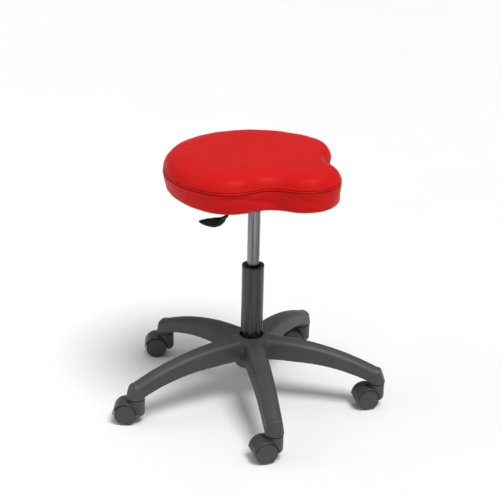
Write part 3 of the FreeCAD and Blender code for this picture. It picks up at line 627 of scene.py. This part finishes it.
def cushion_profile():
    """Rows from the hem to the crown: (inset, height, share of the way to the middle).

    A height of None lies on the crown and is worked out from the distance to the edge.
    """
    rows = [(HEM_INSET, SEAT_BOTTOM + HEM_THICKNESS, 0.0)]
    for share in np.linspace(0, 1, 5):
        rows.append((HEM_INSET + (BOTTOM_ROUND - HEM_INSET) * share, SEAT_BOTTOM, 0.0))
    for angle in np.radians(np.linspace(12, 90, 9)):
        rows.append((BOTTOM_ROUND * (1 - math.sin(angle)),
                     SEAT_BOTTOM + BOTTOM_ROUND * (1 - math.cos(angle)), 0.0))
    for height in np.arange(SEAT_BOTTOM + BOTTOM_ROUND + ROW_STEP, SEAM_Z - SEAM_REACH, ROW_STEP):
        rows.append((0.0, height, 0.0))
    for offset in np.arange(-SEAM_REACH, SEAM_REACH + SEAM_STEP / 2, SEAM_STEP):
        lean = math.asin(max(0.0, offset) / TOP_RISE)
        rows.append((TOP_ROUND * (1 - math.cos(lean)), SEAM_Z + offset, 0.0))
    for angle in np.linspace(math.asin(SEAM_REACH / TOP_RISE), math.radians(80), 18)[1:]:
        rows.append((TOP_ROUND * (1 - math.cos(angle)), SEAM_Z + TOP_RISE * math.sin(angle), 0.0))
    edge_inset, edge_z, _ = rows[-1]
    for share in np.linspace(0, 1, 12)[1:]:
        rows.append((edge_inset + share * (CROWN_INSET - edge_inset), None, 0.0))
    for share in np.linspace(0, 0.97, 22)[1:]:
        rows.append((CROWN_INSET, None, share))
    return rows, edge_inset, edge_z


def crown_heights(ring, inset, edge_inset, edge_z):
    """Heights on the crown: a quick rise inside the edge, then a shallow dome."""
    rise = SEAT_CROWN - edge_z
    span = np.linalg.norm(ring - CROWN_MIDDLE, axis=1) / (REAR_RADIUS - edge_inset)
    edge = np.clip((inset - edge_inset) / (CROWN_INSET - edge_inset), 0, 1)
    shoulder = 1 - (1 - edge) ** CROWN_EDGE_POWER
    return edge_z + rise * shoulder * (1 - CROWN_DOME * np.clip(span, 0, 1) ** 2)


def band_fade(height, low, high):
    """1 on the band, fading to 0 over a span above its lower edge and one at the seam."""
    offset = height - SEAT_BOTTOM
    return float(step(offset, *low) * (1 - step(height - SEAM_Z, *high)))


def band_swell(height, rearward):
    """The band is fullest at the seam and pulled in at its foot, most of all at the rear."""
    foot = 1 - step(height - SEAT_BOTTOM, *FOOT_SPAN)
    full = band_fade(height, FULL_SPAN, TOP_SPAN)
    swell = BAND_SWELL * full + REAR_SWELL * rearward * (1 - foot)
    return swell - (FOOT_PULL + REAR_PULL * rearward) * foot


def pleats(along, total, height):
    """Shallow vertical gathers where the band turns tight corners."""
    relief = np.zeros_like(along)
    for place, width, depth in PLEATS:
        for pleat in (place, total - place * PLEAT_SKEW):
            relief -= bump_wave(along, pleat, width, depth)
            for beside, spread, share in PLEAT_SIDES:
                relief += bump_wave(along, pleat + beside * width, spread * width, share * depth)
    return relief * band_fade(height, PLEAT_LOW, PLEAT_HIGH)


def drag_folds(along, total, height):
    """Soft slanting folds where the band is pulled round the thigh notches."""
    share = (height - SEAT_BOTTOM) / (SEAM_Z - SEAT_BOTTOM)
    relief = np.zeros_like(along)
    beside, spread, fullness = FOLD_SIDE
    for start, start_share, end, end_share, width, depth in FOLDS:
        for place, reach in ((start, end - start), (total - start, start - end)):
            travelled = (along - place) / reach
            line = start_share + (end_share - start_share) * step(travelled, 0.0, 1.0)
            fade = step(travelled, *FOLD_START) * (1 - step(travelled, *FOLD_END))
            relief -= fade * bump_wave(share, line, width, depth)
            relief += fade * bump_wave(share, line + beside * width, spread * width, fullness * depth)
    return relief * float(step(share, *FOLD_LOW) * (1 - step(share, *FOLD_HIGH)))


def gathers(along, total, offset):
    """Small puckers that radiate from the stitches and fade away from the seam."""
    turn = 2 * math.pi / total
    near = math.exp(-abs(offset) / PUCKER_REACH)
    length, tall, depth = PUCKERS
    broad_length, broad_tall, broad_depth = BROAD_WAVES
    waves = []
    for value in along:
        ring = Vector((math.cos(value * turn), math.sin(value * turn), 0.0)) / turn
        fine = noise.noise(ring / length + Vector((0, 0, offset / tall)))
        level = BROAD_WAVES_OFFSET + offset / broad_tall
        broad = noise.noise(ring / broad_length + Vector((0, 0, level)))
        waves.append(depth * near * fine + broad_depth * broad)
    return np.array(waves)


def make_cloth(coarse, heights):
    """Coarse cover with Cloth on it, held along its seam and its hem."""
    mesh = grid_mesh("cloth_cover", coarse, cap_high=coarse[-1].mean(axis=0))
    cover = new_object("cloth_cover", mesh)
    held = cover.vertex_groups.new(name="held")
    count = coarse.shape[1]
    hem, seam = CLOTH_HELD
    for row, height in enumerate(heights):
        if height is not None and (height < SEAT_BOTTOM + hem or abs(height - SEAM_Z) < seam):
            held.add(list(range(row * count, (row + 1) * count)), 1.0, "REPLACE")
    cloth = cover.modifiers.new("cloth", "CLOTH")
    for key, value in CLOTH_SETTINGS.items():
        setattr(cloth.settings, key, value)
    cloth.settings.vertex_group_mass = "held"
    cloth.settings.effector_weights.gravity = 0.0
    return cover


def simulate(cover):
    """Points of the cover after the last frame, without the one that closes the crown."""
    scene = bpy.context.scene
    for frame_number in range(1, CLOTH_FRAMES + 1):
        scene.frame_set(frame_number)
    graph = bpy.context.evaluated_depsgraph_get()
    settled = np.empty(len(cover.data.vertices) * 3)
    cover.evaluated_get(graph).data.vertices.foreach_get("co", settled)
    scene.frame_set(1)
    bpy.data.objects.remove(cover)
    return settled.reshape(-1, 3)[:-1]


def settle(rings, rows):
    """Cloth simulation on a coarse copy of the cover.

    The movement is capped, spread back over the fine rings and added to them.
    """
    fine = np.array(rings)
    heights = [height for _, height, _ in rows]
    picked_rows = sorted(set(range(0, len(rows), CLOTH_ROW_STEP)) | {len(rows) - 1})
    picked_columns = np.arange(0, AROUND, CLOTH_COLUMN_STEP)
    coarse = fine[np.ix_(picked_rows, picked_columns)]
    cover = make_cloth(coarse, [heights[index] for index in picked_rows])
    moved = simulate(cover).reshape(coarse.shape) - coarse
    length = np.linalg.norm(moved, axis=2, keepdims=True)
    moved *= CLOTH_CAP * np.tanh(length / CLOTH_CAP) / np.maximum(length, 1e-9)
    around = np.arange(AROUND)
    wide = np.empty((len(picked_rows), AROUND, 3))
    for row in range(len(picked_rows)):
        for axis in range(3):
            closed = np.append(moved[row, :, axis], moved[row, 0, axis])
            wide[row, :, axis] = np.interp(around, np.append(picked_columns, AROUND), closed)
    shares = [1.0 if height is not None and height < SEAM_Z else CLOTH_TOP_SHARE for height in heights]
    for column in range(AROUND):
        for axis in range(3):
            spread = np.interp(range(len(rows)), picked_rows, wide[:, column, axis])
            fine[:, column, axis] += shares * spread
    return list(fine)


def cushion_rings(rows, edge_inset, edge_z):
    """Rings of the cover from the hem to the crown, and the strength of the painted shade in the seams at
    each point.
    """
    outline = plan_ring(0.0)
    outward = plan_ring(-1.0 * MM) - outline
    outward /= np.linalg.norm(outward, axis=1)[:, None]
    lengths = np.linalg.norm(np.roll(outline, -1, axis=0) - outline, axis=1)
    along = np.concatenate([[0.0], np.cumsum(lengths)[:-1]])
    total = lengths.sum()
    joint = along - total / 2
    seam_lift = SEAM_LIFT * -outline[:, 1] / REAR_RADIUS
    rearward = step(outline[:, 1], *REAR_SPAN)
    rings = []
    painted_shades = []
    for inset, height, inward in rows:
        ring = plan_ring(inset)
        ring = ring + (CROWN_MIDDLE - ring) * inward
        if height is None:
            heights = crown_heights(ring, inset, edge_inset, edge_z)
            heights = heights + seam_lift * CROWN_TILT * (1 - inward) ** 2
            rings.append(np.column_stack([ring, heights]))
            painted_shades.append(np.zeros(AROUND))
            continue
        offset = height - SEAM_Z
        on_band = band_fade(height, JOINT_LOW, JOINT_HIGH)
        out = bumps(offset, (WELT, *LIPS, *GROOVES)) + band_swell(height, rearward)
        out = out + on_band * bumps(joint, JOINT_LIPS)
        if height > SEAT_BOTTOM + RELIEF_LOW:
            out = out + pleats(along, total, height) + gathers(along, total, offset)
            out = out + drag_folds(along, total, height)
        points = ring + outward * out[:, None]
        lifted = float(step(height, SEAT_BOTTOM + LIFT_SPAN, SEAM_Z))
        lifted *= 1 - LIFT_LOSS * float(step(offset, 0, LIFT_FADE))
        rings.append(np.column_stack([points, height + lifted * seam_lift]))
        # painted shade in the grooves beside the welt and in the rear joint
        shade = float(bumps(offset, GROOVE_SHADES))
        painted_shades.append(np.maximum(shade, on_band * bump_wave(joint, *JOINT_SHADE)))
    return rings, painted_shades


def make_cushion():
    """The sewn cover, drawn as rings from the hem to the middle of the crown."""
    rows, edge_inset, edge_z = cushion_profile()
    rings, painted_shades = cushion_rings(rows, edge_inset, edge_z)
    rings = settle(rings, rows)
    crown = (*CROWN_MIDDLE, rings[-1][:, 2].mean())
    mesh = grid_mesh("seat_upholstery", rings, cap_high=crown)
    # the painted shade of the seams, kept on the points for the vinyl
    depth = mesh.attributes.new("seam_painted_shade", "FLOAT", "POINT")
    values = np.append(np.concatenate(painted_shades), 0.0)
    depth.data.foreach_set("value", values.astype(np.float32))
    obj = new_object("seat_upholstery", mesh)
    smooth(obj)
    put_on(obj, "seat", "red_vinyl", VINYL, "seat_cover")


def make_foam():
    """The pad under the cover: a skirt round the board, closed over it."""
    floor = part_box("seat_board")[1].z + FOAM_CLEARANCE
    pocket = BOARD_INSET - FOAM_CLEARANCE
    low = SEAT_BOTTOM + HEM_THICKNESS + FOAM_CLEARANCE
    rows = [(pocket, floor), (pocket, low), (BOTTOM_ROUND, low)]
    for angle in np.radians(np.linspace(20, 90, 6)):
        rows.append((FOAM_INSET + BOTTOM_ROUND * (1 - math.sin(angle)),
                     low + BOTTOM_ROUND * (1 - math.cos(angle))))
    rows.append((FOAM_INSET, SEAM_Z))
    for angle in np.radians(np.linspace(0, 84, 10)):
        rows.append((FOAM_INSET + TOP_ROUND * (1 - math.cos(angle)),
                     SEAM_Z + (TOP_RISE - FOAM_INSET) * math.sin(angle)))
    rings = [np.column_stack([plan_ring(inset), np.full(AROUND, height)]) for inset, height in rows]
    top = rows[-1][1] + FOAM_CROWN
    mesh = grid_mesh("seat_pad", rings, cap_low=(0, 0, floor), cap_high=(0, 0, top))
    obj = new_object("seat_pad", mesh)
    smooth(obj, 40)
    put_on(obj, "seat", "foam", FOAM, "seat_foam")


# ---- column -----------------------------------------------------------------------------------
def lobe_radius(height, from_groove):
    """Outer radius of the fluted end; from_groove is 0 in a groove and 1 on a lobe's crest."""
    share = (FLUTE_TOP - height) / (FLUTE_TOP - LOBE_FOOT)
    narrow, widening = FLUTE_SHARE
    width = narrow + widening * share
    groove = FLUTE_DEPTH * share ** 0.8 * np.exp(-(from_groove / width) ** 2.4)
    rounding = 1 - np.clip((height - LOBE_FOOT) / LOBE_ROUND, 0, 1)
    taper = LOBE_TAPER * rounding ** 2.2 * (1 - 0.35 * from_groove ** 2)
    nose = LOBE_NOSE * rounding * (1 - from_groove ** 2) ** 2
    return PIPE_RADIUS - groove - taper - nose


def make_standpipe():
    """Painted tube whose lower end is gathered into rounded lobes between pressed flutes."""
    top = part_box("standpipe")[1].z
    angles = full_turn(PIPE_AROUND)
    phase = (angles - FLUTE_ANGLE) * FLUTE_COUNT / (2 * math.pi)
    from_groove = np.abs(phase - np.round(phase)) * 2
    inside = LOBE_FOOT + LOBE_WALL
    rows = [(inside, NECK_BORE), (LOBE_FOOT, NECK_BORE), (LOBE_FOOT, NECK_TOP_RADIUS)]
    for height in np.linspace(LOBE_FOOT, LOBE_FOOT + LOBE_ROUND, 12):
        rows.append((height, lobe_radius(height, from_groove)))
    for height in np.linspace(LOBE_FOOT + LOBE_ROUND + 1.5 * MM, FLUTE_TOP, 30):
        rows.append((height, lobe_radius(height, from_groove)))
    for height in np.linspace(FLUTE_TOP + 2 * MM, top - PIPE_EDGE[0][1], 20):
        rows.append((height, PIPE_RADIUS))
    for inset, depth in PIPE_EDGE[1:]:
        rows.append((top - depth, PIPE_RADIUS - inset))
    rows.append((top, PIPE_BORE))
    rows.append((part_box("guide_bush")[0].z - PIPE_STEP_DEPTH, PIPE_BORE))
    rows.append((FLUTE_TOP, NECK_BORE))
    rows.append((inside, NECK_BORE))
    rings = [tube_ring(angles, radius, height) for height, radius in rows]
    obj = new_object("fluted_standpipe", grid_mesh("fluted_standpipe", rings))
    weld(obj)
    smooth(obj, 40)
    put_on(obj, "base", "standpipe_paint", PIPE_PAINT, "standpipe")


def make_painted_shade_neck():
    """The standpipe's neck between the fluted end and the hub's taper, black as painted shade for the shadow
    down in the hub's mouth.
    """
    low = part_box("standpipe")[0].z
    top = LOBE_FOOT + NECK_OVERLAP
    profile = [(NECK_BORE, low), (NECK_FOOT_RADIUS, low), (NECK_TOP_RADIUS, NECK_TAPER_TOP),
               (NECK_TOP_RADIUS, top), (NECK_BORE, top), (NECK_BORE, low)]
    angles = full_turn(NECK_AROUND)
    rings = [tube_ring(angles, radius, height) for radius, height in profile]
    obj = new_object("standpipe_neck_painted_shade", grid_mesh("standpipe_neck_painted_shade", rings))
    weld(obj)
    smooth(obj, 40)
    # the black finish is painted shade for the shadow in the hub's mouth
    put_on(obj, "base", "standpipe_paint", BLACK_FOR_BUSH_AND_SHADE, "standpipe")


def make_bush():
    """Guide bush with a stepped mouth round the cylinder and shallow notches in its rim."""
    low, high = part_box("guide_bush")
    outer = (high.x - low.x) / 2
    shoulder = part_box("standpipe")[1].z
    body = PIPE_BORE - BUSH_CLEARANCE
    profile = [(BUSH_BORE, low.z), (body, low.z), (body, shoulder), (outer, shoulder)]
    profile += [(outer - inset, high.z - depth) for inset, depth in BUSH_RIM]
    profile += [(radius, high.z - depth) for radius, depth in BUSH_MOUTH]
    profile.append((BUSH_BORE, low.z))
    angles = full_turn(BUSH_AROUND)
    pitch = (angles / (2 * math.pi) * BUSH_NOTCHES) % 1.0
    notch = (np.abs(pitch - 0.5) < BUSH_NOTCH_SHARE / 2).astype(float)
    rings = []
    for row, (radius, height) in enumerate(profile):
        sunk = BUSH_NOTCH_DEPTH * notch if row in BUSH_NOTCHED else 0.0
        rings.append(tube_ring(angles, radius, height - sunk))
    obj = new_object("notched_bush", grid_mesh("notched_bush", rings))
    weld(obj)
    smooth(obj, 35)
    put_on(obj, "base", "bush_plastic", BLACK_FOR_BUSH_AND_SHADE, "guide_bush")


# ---- base -------------------------------------------------------------------------------------
def clear_sockets(mesh):
    """Keep the caster sockets' bores clear of the grip rings that turn in them."""
    for index in range(1, CASTER_COUNT + 1):
        low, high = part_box(f"caster_{index}_grip_ring")
        centre = (low + high) / 2
        bore = (high.x - low.x) / 2 + SOCKET_CLEARANCE
        for vertex in mesh.vertices:
            offset = Vector((vertex.co.x - centre.x, vertex.co.y - centre.y, 0))
            near = abs(vertex.co.z - centre.z) < (high.z - low.z) / 2 + BASE_VOXEL
            if near and 0 < offset.length < bore:
                vertex.co.x = centre.x + offset.x / offset.length * bore
                vertex.co.y = centre.y + offset.y / offset.length * bore


def softening_weights(mesh):
    """Weight of each vertex for the rounding of all outer edges and for the hub's fillets."""
    points = np.empty(len(mesh.vertices) * 3)
    mesh.vertices.foreach_get("co", points)
    points = points.reshape(-1, 3)
    radius = np.hypot(points[:, 0], points[:, 1])
    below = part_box("star_base")[1].z - points[:, 2]
    bore_edge, mouth_edge, fillet_start = (step(radius, *span) for span in HUB_KEEP)
    strong, faint = EDGE_SOFTNESS
    edges = strong * bore_edge * mouth_edge + faint * bore_edge
    fillets = fillet_start * (1 - step(radius, *FILLET_END)) * step(below, *FILLET_LOW)
    return edges, fillets


def soften(obj, name, weights, turns):
    """Smooth modifier whose strength follows the weights, in steps."""
    group = obj.vertex_groups.new(name=name)
    levels = np.round(np.clip(weights, 0, 1) * WEIGHT_LEVELS).astype(int)
    for level in range(1, WEIGHT_LEVELS + 1):
        chosen = np.nonzero(levels == level)[0].tolist()
        if chosen:
            group.add(chosen, level / WEIGHT_LEVELS, "REPLACE")
    modifier = obj.modifiers.new(name, "SMOOTH")
    modifier.factor = 0.5
    modifier.iterations = turns
    modifier.vertex_group = name


def make_star_base():
    """The moulded base: the frame's shell with its arms blended into the hub."""
    obj = new_object("moulded_base", NODES["star_base"].data.copy())
    remesh = obj.modifiers.new("even", "REMESH")
    remesh.mode = "VOXEL"
    remesh.voxel_size = BASE_VOXEL
    apply_modifiers(obj)
    edges, fillets = softening_weights(obj.data)
    soften(obj, "edges", edges, EDGE_TURNS)
    soften(obj, "hub_fillets", fillets, FILLET_TURNS)
    apply_modifiers(obj)
    obj.vertex_groups.clear()
    clear_sockets(obj.data)
    thin = obj.modifiers.new("thin", "DECIMATE")
    thin.ratio = BASE_KEPT
    apply_modifiers(obj)
    smooth(obj, 50)
    put_on(obj, "base", "base_nylon", CHARCOAL, "star_base")


# ---- lever ------------------------------------------------------------------------------------
def paddle_ring(share, middle, across, facing):
    """One ring of the leaf, at a share of its length from the root."""
    upper, lower, thick = (float(np.interp(share, *curve)) * MM
                           for curve in (PADDLE_UPPER, PADDLE_LOWER, PADDLE_THICK))
    hollow = PADDLE_DISH * math.sin(math.pi * min(1.0, share * 1.1))
    ring = []
    for turn in full_turn(PADDLE_SHARES[1]):
        side = math.cos(turn)
        front = math.sin(turn)
        reach = (upper if side > 0 else lower) * math.copysign(abs(side) ** 0.9, side)
        body = thick * math.copysign(abs(front) ** 0.8, front)
        dish = hollow * (1 - side ** 2) if front > 0 else 0.0
        ring.append(middle + across * reach + facing * (body - dish))
    return ring


def make_paddle():
    """Leaf-shaped grip: a straight upper edge, a full belly and a dished face."""
    low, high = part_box("lever_paddle")
    root = Vector((high.x, 0.0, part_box("lever_rod")[0].z + LEVER_ROD_RADIUS - PADDLE_SINK))
    length = high.x - low.x
    across = Vector((0.0, math.cos(PADDLE_TILT), math.sin(PADDLE_TILT)))
    facing = Vector((0.0, -math.sin(PADDLE_TILT), math.cos(PADDLE_TILT)))
    rings = []
    for share in np.linspace(0.0, 1.0, PADDLE_SHARES[0]):
        middle = root + Vector((-share * length, 0.0, PADDLE_RISE * share ** 2))
        rings.append(paddle_ring(share, middle, across, facing))
    foot = root + Vector((PADDLE_ROOT, 0, 0))
    tip = root + Vector((-length * PADDLE_TIP, 0.0, PADDLE_RISE))
    obj = new_object("leaf_paddle", grid_mesh("leaf_paddle", rings, cap_low=foot, cap_high=tip))
    smooth(obj, 60)
    put_on(obj, "lever", "lever_plastic", LEVER_BLACK, "lever_paddle")


# ---- camera, light and floor ------------------------------------------------------------------
def make_camera():
    data = bpy.data.cameras.new("camera")
    data.lens = CAMERA_LENS
    data.sensor_width = CAMERA_SENSOR
    data.shift_x = CAMERA_SHIFT
    camera = new_object("camera", data)
    back = direction(CAMERA_AZIMUTH, CAMERA_ELEVATION)
    right = (-back).cross(Vector((0, 0, 1))).normalized()
    up = right.cross(-back)
    rolled_right = right * math.cos(CAMERA_ROLL) + up * math.sin(CAMERA_ROLL)
    rolled_up = up * math.cos(CAMERA_ROLL) - right * math.sin(CAMERA_ROLL)
    pose = Matrix((rolled_right, rolled_up, back)).transposed().to_4x4()
    pose.translation = Vector((0, 0, CAMERA_TARGET_Z)) + back * CAMERA_DISTANCE
    camera.matrix_world = pose
    bpy.context.scene.camera = camera


def add_light(name, kind, azimuth, elevation, power):
    """Light that shines from a direction; gives its data, its object and that direction."""
    data = bpy.data.lights.new(name, kind)
    data.energy = power
    light = new_object(name, data)
    back = direction(math.radians(azimuth), math.radians(elevation))
    light.rotation_mode = "QUATERNION"
    light.rotation_quaternion = back.to_track_quat("Z", "Y")
    return data, light, back


def make_key_light():
    azimuth, elevation, spread, strength = KEY_LIGHT
    data, _, _ = add_light("key", "SUN", azimuth, elevation, strength)
    data.angle = math.radians(spread)


def make_rim_light():
    azimuth, elevation, distance, size, power = RIM_LIGHT
    data, light, back = add_light("rim", "AREA", azimuth, elevation, power)
    data.shape = "RECTANGLE"
    data.size, data.size_y = size
    light.location = Vector((0, 0, RIM_TARGET_Z)) + back * distance


def make_floor():
    corners = [(-FLOOR_HALF, -FLOOR_HALF, 0), (FLOOR_HALF, -FLOOR_HALF, 0),
               (FLOOR_HALF, FLOOR_HALF, 0), (-FLOOR_HALF, FLOOR_HALF, 0)]
    mesh = bpy.data.meshes.new("floor")
    mesh.from_pydata(corners, [], [(0, 1, 2, 3)])
    obj = new_object("floor", mesh)
    n = Nodes("pale_floor")
    n.fixed(Roughness=0.85, Specular_IOR_Level=0.2)
    tone = n.mix(n.remap(n.noise(1.5, 2.0), 0.3, 0.7), (0.86, 0.86, 0.86), (0.88, 0.88, 0.88))
    obj.data.materials.append(n.finish(tone))


def make_sky():
    """Sky that is brighter overhead, and an even pale backdrop where the camera sees it."""
    world = bpy.data.worlds.new("studio")
    world.use_nodes = True
    nodes = world.node_tree.nodes
    link = world.node_tree.links.new
    background = nodes["Background"]
    background.inputs["Color"].default_value = (1.0, 1.0, 1.0, 1.0)
    coordinates = nodes.new("ShaderNodeTexCoord")
    split = nodes.new("ShaderNodeSeparateXYZ")
    height = nodes.new("ShaderNodeMapRange")
    height.inputs["To Min"].default_value = SKY_LOW
    height.inputs["To Max"].default_value = SKY_HIGH
    seen = nodes.new("ShaderNodeLightPath")
    strength = nodes.new("ShaderNodeMix")
    strength.inputs["B"].default_value = SKY_SEEN
    link(coordinates.outputs["Generated"], split.inputs["Vector"])
    link(split.outputs["Z"], height.inputs["Value"])
    link(seen.outputs["Is Camera Ray"], strength.inputs["Factor"])
    link(height.outputs["Result"], strength.inputs["A"])
    link(strength.outputs["Result"], background.inputs["Strength"])
    bpy.context.scene.world = world
    bpy.context.scene.view_settings.view_transform = "Standard"


make_camera()
make_floor()
make_sky()
make_key_light()
make_rim_light()
dress_cad_nodes()
make_cushion()
make_foam()
make_standpipe()
make_painted_shade_neck()
make_bush()
make_star_base()
make_paddle()

bpy.context.view_layer.update()
